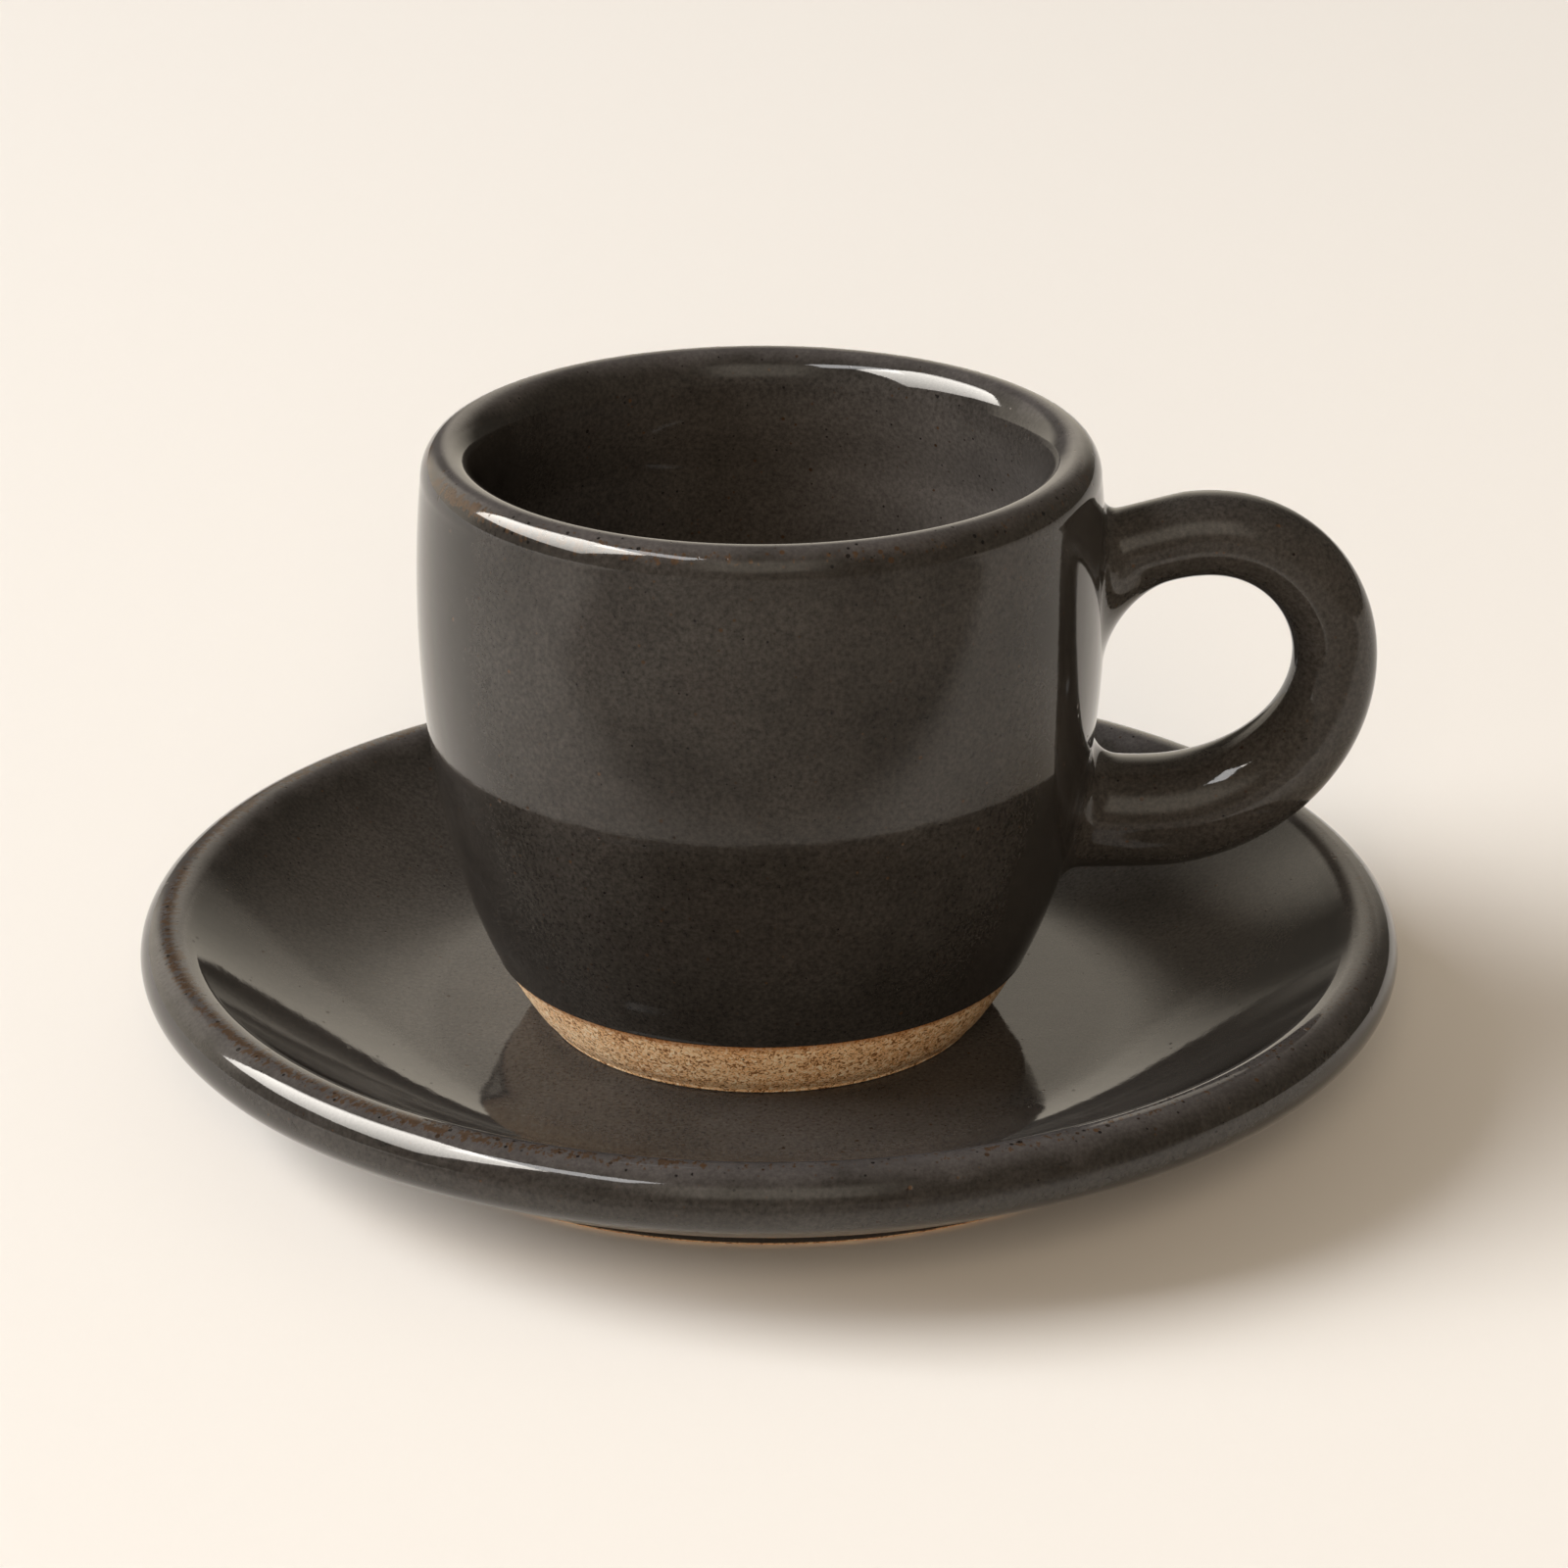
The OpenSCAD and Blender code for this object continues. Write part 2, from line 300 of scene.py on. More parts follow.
def cupFootOutline():
    # turned recess, standing ring, rounded lower edge, wall and the top that the glazed body sits on
    s = footShape
    band, skin = cupShape["bandHeight"], cupShape["glazeThickness"]
    outer = cupShape["footRadius"] - skin
    inner = outer - s["standWidth"]
    heights = np.linspace(s["edge"], band, 30)
    corner = s["softCorner"]
    wall = np.column_stack([wallRadius(heights) - skin, heights])
    wall[:, 0] -= (wall[0, 0] - outer) * (1 - ease((heights - s["edge"]) / s["drawnIn"]))
    recess, recessEnd = s["recess"], inner - s["recessSlope"]
    return joinLines(
        straightLine((0, recess), (recessEnd - corner, recess), 20),
        bendLine([(recessEnd - corner, recess), (recessEnd, recess),
                  (recessEnd, recess), (recessEnd + corner, recess - corner)], 5),
        straightLine((recessEnd + corner, recess - corner), (inner - corner / 2, corner), 8),
        bendLine([(inner - corner / 2, corner), (inner, 0), (inner, 0), (inner + corner, 0)], 5),
        straightLine((inner + corner, 0), (outer - s["edge"], 0), 12),
        roundLine((outer - s["edge"], s["edge"]), s["edge"], s["edge"], -90, 0, 10),
        wall,
        straightLine((wall[-1, 0], band), (0, band), 8))


footLine = cupFootOutline()
cupFoot = throwOnWheel("cupFoot", footLine, cupCentre, turnsOnWheel, {})
print("cup foot turned:", len(cupFoot.data.polygons), "faces")


# The handle

handleShape = {
    "reach": 57.8,            # from the cup's axis to the outside of the bow
    "top": 51.6,
    "bottom": 14.4,
    "thin": 7.9,              # thickness over the top and the bow
    "pool": 0.13,             # how far its glaze is as thick and pale as the cup's inside
    "thick": 10.6,            # thickness of the lower arm
    "crownAt": 42.0,
    "bowHeight": 35.4,
    "levelAt": 36.0,
    "rootHeight": 45.5,
    "rootRun": 4.0,
    "rootRise": 1.0,
    "sectionShare": 1.08,
    "topFillet": 1.6,
    "loopFillet": 6.6,
    "heelFillet": 3.4,
    "underFillet": 1.8,
    "filletTurn": 2,          # how fast the inner fillet gives way to the outer one, round the side
    "sink": 0.03,             # how far the flared edge goes under the wall's glaze
    "sides": 96,
    "firstGap": 0.4,          # between the upper flare and the first ring of the arm
    "taperFromShare": 0.12,   # the arm thickens over the bow's lower quarter: how far before it that starts,
    "taperOverShare": 1.08,   # and over how much of the quarter's length it goes on
    "smoothRings": 20,        # rings at each end that the smoothing leaves more and more as they are
    "smoothPasses": 10,
    "tuckShare": 0.7,         # the closed ends inside the wall are drawn together to this share
    "tuck": 0.6,              # and lie this far further in
}


def pullHandle():
    # Rings along a middle line: each point is the middle, plus the ring's radius times the cosine of its
    # angle across the line and the sine along Y. At both ends the rings flare on to the cup's round wall, by
    # out = r + f (1 - cos u) and off = f (1 - sin u), where u goes through a quarter turn and f is the
    # fillet.
    s = handleShape
    sides = s["sides"]
    around = np.radians(np.linspace(0, 360, sides, endpoint=False))[None, :]
    thinRadius, thickRadius = s["thin"] / 2, s["thick"] / 2
    crownHeight = s["top"] - thinRadius
    bowAt = s["reach"] - thinRadius
    levelHeight = s["bottom"] + thickRadius
    rootAt = wallRadius(s["rootHeight"])
    rootLine = bendLine([(rootAt, s["rootHeight"]), (rootAt + s["rootRun"], s["rootHeight"] + s["rootRise"]),
                         (s["crownAt"] - s["rootRun"], crownHeight), (s["crownAt"], crownHeight)], 60)
    levelLine = np.array([(0, levelHeight), (s["reach"], levelHeight)])
    quarterSteps = 60

    def seatAt(y, z):
        # where the cup's wall lies along X
        return np.sqrt(wallRadius(z) ** 2 - y ** 2)

    def flare(turn, r, line, outerFillet, innerFillet, side):
        fillet = mix(outerFillet, innerFillet, ((1 - np.cos(around)) / 2) ** s["filletTurn"])
        u = math.pi / 2 * turn[:, None]
        out = r + fillet * (1 - np.cos(u))
        off = fillet * (1 - np.sin(u)) - s["sink"] * np.sin(u) ** 8
        y = s["sectionShare"] * out * np.sin(around)
        z = np.interp(rootAt + off, line[:, 0], line[:, 1]) + side * out * np.cos(around)
        return np.stack([seatAt(y, z) + off, y, z], -1)

    spine = joinLines(
        rootLine[rootLine[:, 0] > rootAt + s["loopFillet"] + s["firstGap"]],
        roundLine((s["crownAt"], s["bowHeight"]), bowAt - s["crownAt"], crownHeight - s["bowHeight"],
                  90, 0, 50),
        roundLine((s["levelAt"], s["bowHeight"]), bowAt - s["levelAt"], s["bowHeight"] - levelHeight, 0, -90,
                  quarterSteps))
    run = runLength(spine)
    quarterStart = run[-1 - quarterSteps]
    quarterRun = run[-1] - quarterStart
    radius = mix(thinRadius, thickRadius, ease((run - quarterStart + s["taperFromShare"] * quarterRun)
                                               / (s["taperOverShare"] * quarterRun)))[:, None]
    way = np.gradient(spine, axis=0)
    way /= np.linalg.norm(way, axis=1)[:, None]
    up = radius * np.cos(around)
    arm = np.stack([spine[:, :1] - way[:, 1:] * up, s["sectionShare"] * radius * np.sin(around) + 0 * up,
                    spine[:, 1:] + way[:, :1] * up], -1)

    turn = np.linspace(0, 1, 25)
    root = flare(turn[::-1], thinRadius, rootLine, s["topFillet"], s["loopFillet"], 1)
    heel = flare(turn, thickRadius, levelLine, s["underFillet"], s["heelFillet"], -1)
    rings = np.concatenate([root, arm, heel])

    held = rings.copy()
    fade = np.minimum(np.arange(len(rings)), np.arange(len(rings))[::-1]) / s["smoothRings"]
    keep = 1 - ease(fade)[:, None, None]
    for _ in range(s["smoothPasses"]):
        rings[1:-1] = rings[1:-1] / 2 + (rings[:-2] + rings[2:]) / 4
        rings = mix(rings, held, keep)

    firstMiddle, lastMiddle = rings[0].mean(0), rings[-1].mean(0)
    inward = np.array([-s["tuck"], 0, 0])
    rings = np.concatenate([[mix(firstMiddle, rings[0], s["tuckShare"]) + inward], rings,
                            [mix(lastMiddle, rings[-1], s["tuckShare"]) + inward]])
    count = len(rings)
    points = np.vstack([rings.reshape(-1, 3), firstMiddle + 2 * inward, lastMiddle + 2 * inward])
    quads = wrapQuads(count, sides)[:, ::-1]
    triangles = closeEnds(count, sides)[:, ::-1]
    ringRun = runLength(rings.mean(1))[:, None]
    flow = gridPoints(thickRadius * np.cos(around), thickRadius * np.sin(around), ringRun)
    flow = np.vstack([flow, flow[0], flow[-1]])
    pool = np.full(len(points), s["pool"])
    return makePiece("cupHandle", points + np.array(cupCentre), quads, triangles,
                     {"flow": flow, "pool": pool})


cupHandle = pullHandle()
print("handle pulled:", len(cupHandle.data.polygons), "faces")


# The saucer

saucerShape = {
    "height": saucerHigh.z / mm,
    "lipThickness": 6.2,
    "wellRadius": 32.0,
    "wellHeight": cupCentre[2],
    "bowlRun": 10.0,
    "bowlRise": 4.0,
    "bowlAngle": 128,         # on the round lip, where the bowl leaves it
    "underAngle": -60,
    "underRun": 5.0,
    "underOut": 5.4,
    "underRise": 1.3,
    "ringRadius": 41.8,
    "ringWidth": 5.0,
    "ringHeight": 1.8,
    "ringEdge": 0.6,
    "thinWidth": 3.2,         # how far from the lip's crest the glaze has run thin
    "breakWidth": 1.3,        # and how far it breaks brown from a line
    "breakAngle": 85,         # at this place on the round lip
    "pool": 0.36,             # how thick and pale the glaze lies in the well, partly painted light on the upward-facing well
    "poolRun": 10.0,
}


lipRadius = saucerShape["lipThickness"] / 2
lipCentre = np.array([saucerRadius, saucerShape["height"]]) - lipRadius


def lipPoint(degrees, onward=0):
    # centre + radius (cos a, sin a) on the round lip, and from there onward along its tangent (-sin a, cos a)
    cosine, sine = math.cos(math.radians(degrees)), math.sin(math.radians(degrees))
    return lipCentre + lipRadius * np.array([cosine, sine]) + onward * np.array([-sine, cosine])


def saucerOutline():
    # the underside from the axis outwards, the round lip and the bowl down to the flat well
    s = saucerShape
    under, bowl = s["underAngle"], s["bowlAngle"]
    underStart = np.array([s["ringRadius"], s["ringHeight"]])
    wellEdge = np.array([s["wellRadius"], s["wellHeight"]])
    return joinLines(
        straightLine((0, s["ringHeight"]), underStart, 30),
        bendLine([underStart, underStart + [s["underOut"], s["underRise"]],
                  lipPoint(under, -s["underRun"]), lipPoint(under)], 44),
        roundLine(lipCentre, lipRadius, lipRadius, under, bowl, 56),
        bendLine([lipPoint(bowl), lipPoint(bowl, s["bowlRise"]), wellEdge + [s["bowlRun"], 0], wellEdge], 70),
        straightLine(wellEdge, (0, s["wellHeight"]), 30))


def saucerFootOutline():
    # a ring's closed outline: underneath, outer wall, top, inner wall, with rounded lower edges
    s = saucerShape
    outer, edge = s["ringRadius"], s["ringEdge"]
    inner = outer - s["ringWidth"]
    line = joinLines(
        straightLine((inner + edge, 0), (outer - edge, 0), 10),
        roundLine((outer - edge, edge), edge, edge, -90, 0, 8),
        straightLine((outer, edge), (outer, s["ringHeight"]), 6),
        straightLine((outer, s["ringHeight"]), (inner, s["ringHeight"]), 10),
        straightLine((inner, s["ringHeight"]), (inner, edge), 6),
        roundLine((inner + edge, edge), edge, edge, 180, 270, 8))
    return line[:-1]


saucerLine = saucerOutline()
inTheWell = (saucerLine[:, 1] >= saucerShape["wellHeight"]) & (saucerLine[:, 0] < lipCentre[0])
saucerDish = throwOnWheel("saucerDish", saucerLine, (0, 0, 0), turnsOnWheel, {
    "thin": thinAlong(saucerLine, lipPoint(90), saucerShape["thinWidth"]),
    "edge": thinAlong(saucerLine, lipPoint(saucerShape["breakAngle"]), saucerShape["breakWidth"]),
    "pool": saucerShape["pool"] * inTheWell
            * ease((lipCentre[0] - saucerLine[:, 0]) / saucerShape["poolRun"])})
ringLine = saucerFootOutline()
onOuterWall = ringLine[:, 0] > saucerShape["ringRadius"] - 0.1
aboveEdge = ringLine[:, 1] > saucerShape["ringEdge"] / 2
saucerFoot = throwOnWheel("saucerFoot", ringLine, (0, 0, 0), turnsOnWheel,
                          {"dipped": 1.0 * onOuterWall * aboveEdge}, closedLoop=True)
print("saucer thrown:", len(saucerDish.data.polygons) + len(saucerFoot.data.polygons), "faces")


# Materials

def addNode(tree, kind, feeds, **settings):
    # one node with its settings, and each of its inputs fed by a socket or set to a value
    node = tree.nodes.new("ShaderNode" + kind)
    for key, value in settings.items():
        setattr(node, key, value)
    for socket, source in feeds.items():
        if isinstance(source, bpy.types.NodeSocket):
            tree.links.new(source, node.inputs[socket])
        else:
            node.inputs[socket].default_value = source
    return node


def emptyTree(owner):
    # the node tree of a material, a world or a lamp, switched on and emptied
    owner.use_nodes = True
    owner.node_tree.nodes.clear()
    return owner.node_tree


def scatterSpots(tree, place, spots, edge=None):
    # Round spots, at most one to each cell of a pattern with the given spacing in mm. A cell's spot grows
    # with its chance, from none at the first chance to its biggest at the second, and with the edge by grows
    # times it. Sizes are shares of the spacing. Gives the mask, softened inwards, and a second chance for
    # picking a colour.
    cells = addNode(tree, "TexVoronoi", {"Vector": place, "Scale": 1 / spots["spacing"]})
    chance = addNode(tree, "SeparateColor", {"Color": cells.outputs["Color"]})
    size = addNode(tree, "MapRange", {
        "Value": chance.outputs[0], "From Min": spots["chances"][0], "From Max": spots["chances"][1],
        "To Max": spots["biggest"]}).outputs[0]
    if edge is not None:
        size = addNode(tree, "Math", {0: edge, 1: spots["grows"], 2: size},
                       operation="MULTIPLY_ADD").outputs[0]
    inside = addNode(tree, "Math", {0: size, 1: cells.outputs["Distance"]}, operation="SUBTRACT").outputs[0]
    mask = addNode(tree, "MapRange", {"Value": inside, "From Max": spots["softness"],
                                      "To Max": spots["strength"]}).outputs[0]
    return mask, chance.outputs[1]


glazeLook = {
    "dark": "#282521",
    "light": "#34312d",
    "red": "#312d29",         # drifts of warmer melt
    "pooled": "#5c5751",      # paler and greyer where it lies thick; inside the cup and in the saucer's well partly painted light
    "speck": "#0e0b09",
    "rust": "#4c3826",
    "brown": "#453424",       # where the glaze breaks over an edge
    "thinGrey": "#4f4b48",    # where it has run thin on a rim or a lip
    "cloudSize": 13.0,        # mm, drifts of tone in the melt
    "driftSize": 7.5,         # mm
    "grainSize": 0.42,        # mm, fine crystals under the gloss
    "patchSize": 5.5,         # mm, patches where it has run thin
    "streakRate": (1.9, 1.9, 1.2),   # streaks to a mm round the rim and over it
    "grainSwing": (-0.45, 0.5),      # how far the crystals darken and lighten the tone
    "grainCovered": 0.4,      # and this share of it where the glaze is thin or lies thick
    "paleSpread": 0.9,        # how patchily it pales where it is thin
    "paleStrength": 0.85,
    "streakWeight": 3.4,      # the break follows the streaks and, less, the patches,
    "patchWeight": 1.1,
    "breakLevel": 1.6,        # above this level,
    "drainedAcross": (4.0, -28.0),   # and more on the side away from the handle, in mm on X
    "drainedBy": (-0.3, 0.12),
    "breakStrength": 0.9,
    "specks": {"spacing": 1.35, "chances": (0.55, 0.95), "biggest": 0.17, "grows": 0.1, "softness": 0.07,
               "strength": 1.0, "rustFrom": 0.0},    # iron specks, rusty by their second chance
    "pins": {"spacing": 0.7, "chances": (0.5, 1.0), "biggest": 0.25, "grows": 0.16, "softness": 0.12,
             "strength": 0.85, "rustFrom": 0.5},     # small dark spots between them, less often rusty
    "peelSize": 2.6,          # mm, orange peel, and below the heights of what lifts or sinks the skin
    "peelHeight": 0.010,
    "rippleRate": (0.04, 0.04, 0.9),
    "rippleHeight": 0.006,
    "grainHeight": 0.002,
    "speckHeight": -0.010,
    "roughness": 0.06,
    "speckRoughness": 0.2,
    "ior": 1.45,
}


def makeGlaze(name, look):
    # Iron-rich stoneware glaze, dipped and fired glossy: a charcoal melt under a glassy coat, clouded by
    # drifts of tone, full of fine crystals and iron specks, paler where it ran thin on a rim, and broken
    # brown at the edge.
    material = bpy.data.materials.new(name)
    tree = emptyTree(material)
    objectPlace = addNode(tree, "TexCoord", {}).outputs["Object"]
    place = addNode(tree, "VectorMath", {0: objectPlace, 3: 1 / mm}, operation="SCALE").outputs[0]
    flow = addNode(tree, "Attribute", {}, attribute_name="flow").outputs["Vector"]
    thin, edge, pool = (addNode(tree, "Attribute", {}, attribute_name=spot).outputs["Fac"]
                        for spot in ("thin", "edge", "pool"))

    # the melt: two drifts of tone and fine crystals
    cloud = addNode(tree, "TexNoise", {"Vector": place, "Scale": 1 / look["cloudSize"], "Detail": 4.0,
                                       "Roughness": 0.6}).outputs["Fac"]
    cloudShare = addNode(tree, "MapRange", {"Value": cloud, "From Min": 0.36, "From Max": 0.64}).outputs[0]
    drift = addNode(tree, "TexNoise", {"Vector": place, "Scale": 1 / look["driftSize"], "Detail": 3.0,
                                       "Distortion": 0.6}).outputs["Fac"]
    driftShare = addNode(tree, "MapRange", {"Value": drift, "From Min": 0.5, "From Max": 0.68,
                                            "To Max": 0.6}).outputs[0]
    grain = addNode(tree, "TexNoise", {"Vector": place, "Scale": 1 / look["grainSize"], "Detail": 3.0,
                                       "Roughness": 0.65}).outputs["Fac"]
    grainSwing = addNode(tree, "MapRange", {"Value": grain, "From Min": 0.3, "From Max": 0.7,
                                            "To Min": look["grainSwing"][0],
                                            "To Max": look["grainSwing"][1]}).outputs[0]
    covered = addNode(tree, "Math", {0: pool, 1: thin}, operation="MAXIMUM").outputs[0]
    grainShare = addNode(tree, "MapRange", {"Value": covered, "To Min": 1.0,
                                            "To Max": look["grainCovered"]}).outputs[0]
    grainTone = addNode(tree, "Math", {0: grainSwing, 1: grainShare, 2: 1.0},
                        operation="MULTIPLY_ADD").outputs[0]
    # where the glaze lies thick it turns paler; inside the cup and in the saucer's well this tone also paints
    # the light that falls there
    poolCloud = addNode(tree, "MapRange", {"Value": cloud, "From Min": 0.3, "From Max": 0.7,
                                           "To Min": 0.7, "To Max": 1.0}).outputs[0]
    pooledAndLitShare = addNode(tree, "Math", {0: pool, 1: poolCloud}, operation="MULTIPLY").outputs[0]

    # thin glaze on rims and lips: paler, patchy, with streaks that run off the edge
    streakPlace = addNode(tree, "VectorMath", {0: flow, 1: look["streakRate"]},
                          operation="MULTIPLY").outputs[0]
    streaks = addNode(tree, "TexNoise", {"Vector": streakPlace, "Scale": 1.0, "Detail": 3.0,
                                         "Roughness": 0.6}).outputs["Fac"]
    patches = addNode(tree, "TexNoise", {"Vector": place, "Scale": 1 / look["patchSize"],
                                         "Detail": 3.0}).outputs["Fac"]
    paleReach = addNode(tree, "Math", {0: patches, 1: look["paleSpread"], 2: -look["paleSpread"] / 2},
                        operation="MULTIPLY_ADD").outputs[0]
    paleOver = addNode(tree, "Math", {0: thin, 1: paleReach}, operation="ADD").outputs[0]
    paleMask = addNode(tree, "MapRange", {"Value": paleOver, "From Min": 0.45, "From Max": 1.0,
                                          "To Max": look["paleStrength"]}).outputs[0]
    acrossCup = addNode(tree, "SeparateXYZ", {0: place}).outputs[0]
    drained = addNode(tree, "MapRange", {
        "Value": acrossCup, "From Min": look["drainedAcross"][0], "From Max": look["drainedAcross"][1],
        "To Min": look["drainedBy"][0], "To Max": look["drainedBy"][1]}).outputs[0]
    breakReach = addNode(tree, "Math", {0: patches, 1: look["patchWeight"], 2: drained},
                         operation="MULTIPLY_ADD").outputs[0]
    breakOver = addNode(tree, "Math", {0: streaks, 1: look["streakWeight"], 2: breakReach},
                        operation="MULTIPLY_ADD").outputs[0]
    breakFrom = addNode(tree, "Math", {0: breakOver, 1: look["breakLevel"]}, operation="SUBTRACT").outputs[0]
    breakIn = addNode(tree, "Math", {0: edge, 1: breakFrom}, operation="MULTIPLY").outputs[0]
    breakMask = addNode(tree, "MapRange", {"Value": breakIn, "From Min": 0.60, "From Max": 0.72,
                                           "To Max": look["breakStrength"]}).outputs[0]

    # the tones over one another, each by its share, and the crystals through them all
    colour = addNode(tree, "Mix", {0: cloudShare, 6: toLinear(look["dark"]), 7: toLinear(look["light"])},
                     data_type="RGBA").outputs[2]
    for share, tone in ((driftShare, "red"), (pooledAndLitShare, "pooled"), (paleMask, "thinGrey"),
                        (breakMask, "brown")):
        colour = addNode(tree, "Mix", {0: share, 6: colour, 7: toLinear(look[tone])},
                         data_type="RGBA").outputs[2]
    colour = addNode(tree, "VectorMath", {0: colour, 3: grainTone}, operation="SCALE").outputs[0]

    # iron specks, some burnt to rust, and small dark spots between them; both crowd along the break
    masks = {}
    for kind in ("specks", "pins"):
        masks[kind], chance = scatterSpots(tree, place, look[kind], edge)
        rusty = addNode(tree, "MapRange", {"Value": chance, "From Min": look[kind]["rustFrom"]}).outputs[0]
        spotColour = addNode(tree, "Mix", {0: rusty, 6: toLinear(look["speck"]), 7: toLinear(look["rust"])},
                             data_type="RGBA").outputs[2]
        colour = addNode(tree, "Mix", {0: masks[kind], 6: colour, 7: spotColour},
                         data_type="RGBA").outputs[2]

    # gloss, duller in each speck, and the skin: orange peel, throwing ripples, crystals and sunken specks
    gloss = addNode(tree, "MapRange", {"Value": masks["specks"], "To Min": look["roughness"],
                                       "To Max": look["speckRoughness"]}).outputs[0]
    peel = addNode(tree, "TexNoise", {"Vector": place, "Scale": 1 / look["peelSize"],
                                      "Detail": 1.0}).outputs["Fac"]
    ripplePlace = addNode(tree, "VectorMath", {0: flow, 1: look["rippleRate"]},
                          operation="MULTIPLY").outputs[0]
    ripples = addNode(tree, "TexNoise", {"Vector": ripplePlace, "Scale": 1.0, "Detail": 2.0}).outputs["Fac"]
    skin = addNode(tree, "Math", {0: peel, 1: look["peelHeight"]}, operation="MULTIPLY").outputs[0]
    for layer, layerHeight in ((ripples, look["rippleHeight"]), (grain, look["grainHeight"]),
                               (masks["specks"], look["speckHeight"])):
        skin = addNode(tree, "Math", {0: layer, 1: layerHeight, 2: skin},
                       operation="MULTIPLY_ADD").outputs[0]
    bump = addNode(tree, "Bump", {"Height": skin, "Distance": mm, "Strength": 1.0}).outputs[0]

    shader = addNode(tree, "BsdfPrincipled", {
        "Base Color": colour, "Roughness": gloss, "IOR": look["ior"], "Normal": bump})
    addNode(tree, "OutputMaterial", {"Surface": shader.outputs[0]})
    return material


clayLook = {
    "dark": "#e8b47c",
    "light": "#f9d09c",
    "stroke": "#7d5029",
    "fleck": "#fae6c4",
    "pore": "#4a3220",
    "flash": "#a8662f",       # toasted where the glaze stops,
    "flashBelow": (0.9, 0.05),  # from this far below the line to this far
    "flashStrength": 0.85,
    "glaze": "#2b2825",       # where the saucer's glaze runs down over its foot ring
    "cloudSize": 5.0,         # mm
    "strokeSize": 0.42,       # mm, width of the turning tool's crumbly strokes
    "flecks": {"spacing": 0.8, "chances": (0.6, 1.0), "biggest": 0.24, "softness": 0.08, "strength": 1.0},
    "pores": {"spacing": 1.1, "chances": (0.5, 1.0), "biggest": 0.17, "softness": 0.06, "strength": 1.0},
    "strokeHeight": 0.12,     # mm
    "poreHeight": -0.06,
    "mirrored": 0.5,          # painted shade: its image in the glaze, in the shaded well under the cup, is this share as bright
    "glazeRoughness": 0.1,
    "roughness": 0.85,
    "ior": 1.5,
}


def makeClay(name, look, flashFrom, flashTo):
    # Buff stoneware with fine grog, turned and fired bare: dry and open, with pale flecks of grog, small
    # pores and short crumbly strokes left by the turning tool, and toasted orange from one height up to the
    # glaze line.
    material = bpy.data.materials.new(name)
    tree = emptyTree(material)
    objectPlace = addNode(tree, "TexCoord", {}).outputs["Object"]
    place = addNode(tree, "VectorMath", {0: objectPlace, 3: 1 / mm}, operation="SCALE").outputs[0]
    cloud = addNode(tree, "TexNoise", {"Vector": place, "Scale": 1 / look["cloudSize"],
                                       "Detail": 3.0}).outputs["Fac"]
    cloudShare = addNode(tree, "MapRange", {"Value": cloud, "From Min": 0.3, "From Max": 0.7}).outputs[0]
    strokes = addNode(tree, "TexNoise", {"Vector": place, "Scale": 1 / look["strokeSize"], "Detail": 3.0,
                                         "Roughness": 0.6, "Distortion": 1.2}).outputs["Fac"]
    strokeMask = addNode(tree, "MapRange", {"Value": strokes, "From Min": 0.47, "From Max": 0.40,
                                            "To Max": 0.95}).outputs[0]
    paleMask = addNode(tree, "MapRange", {"Value": strokes, "From Min": 0.53, "From Max": 0.60}).outputs[0]
    fleckMask, _ = scatterSpots(tree, place, look["flecks"])
    poreMask, _ = scatterSpots(tree, place, look["pores"])

    body = addNode(tree, "Mix", {0: cloudShare, 6: toLinear(look["dark"]), 7: toLinear(look["light"])},
                   data_type="RGBA").outputs[2]
    for mask, colour in ((strokeMask, "stroke"), (paleMask, "fleck"), (fleckMask, "fleck"),
                         (poreMask, "pore")):
        body = addNode(tree, "Mix", {0: mask, 6: body, 7: toLinear(look[colour])},
                       data_type="RGBA").outputs[2]
    level = addNode(tree, "SeparateXYZ", {0: place}).outputs[2]
    flashShare = addNode(tree, "MapRange", {"Value": level, "From Min": flashFrom, "From Max": flashTo,
                                            "To Max": look["flashStrength"]}).outputs[0]
    flashed = addNode(tree, "Mix", {0: flashShare, 6: body, 7: toLinear(look["flash"])},
                      data_type="RGBA").outputs[2]

    strokeHeight = addNode(tree, "Math", {0: strokes, 1: look["strokeHeight"]},
                           operation="MULTIPLY").outputs[0]
    height = addNode(tree, "Math", {0: poreMask, 1: look["poreHeight"], 2: strokeHeight},
                     operation="MULTIPLY_ADD").outputs[0]
    bump = addNode(tree, "Bump", {"Height": height, "Distance": mm, "Strength": 1.0}).outputs[0]
    dipped = addNode(tree, "Attribute", {}, attribute_name="dipped").outputs["Fac"]
    # painted shade: the clay seen in the glaze's reflections is darker than the clay itself
    mirrorShadeMask = addNode(tree, "LightPath", {}).outputs["Is Glossy Ray"]
    mirroredShade = addNode(tree, "MapRange", {"Value": mirrorShadeMask, "To Min": 1.0,
                                           "To Max": look["mirrored"]}).outputs[0]
    shaded = addNode(tree, "VectorMath", {0: flashed, 3: mirroredShade}, operation="SCALE").outputs[0]
    coated = addNode(tree, "Mix", {0: dipped, 6: shaded, 7: toLinear(look["glaze"])},
                     data_type="RGBA").outputs[2]
    dryness = addNode(tree, "MapRange", {"Value": dipped, "To Min": look["roughness"],
                                         "To Max": look["glazeRoughness"]}).outputs[0]
    shader = addNode(tree, "BsdfPrincipled", {
        "Base Color": coated, "Roughness": dryness, "IOR": look["ior"], "Normal": bump})
    addNode(tree, "OutputMaterial", {"Surface": shader.outputs[0]})
    return material


glazeLineHeight = cupCentre[2] + cupShape["bandHeight"]
charcoalGlaze = makeGlaze("charcoal iron stoneware glaze, fired glossy", glazeLook)
bareStoneware = makeClay("buff grogged stoneware, turned and fired bare", clayLook,
                         *(glazeLineHeight - below for below in clayLook["flashBelow"]))
print("glaze and clay mixed")

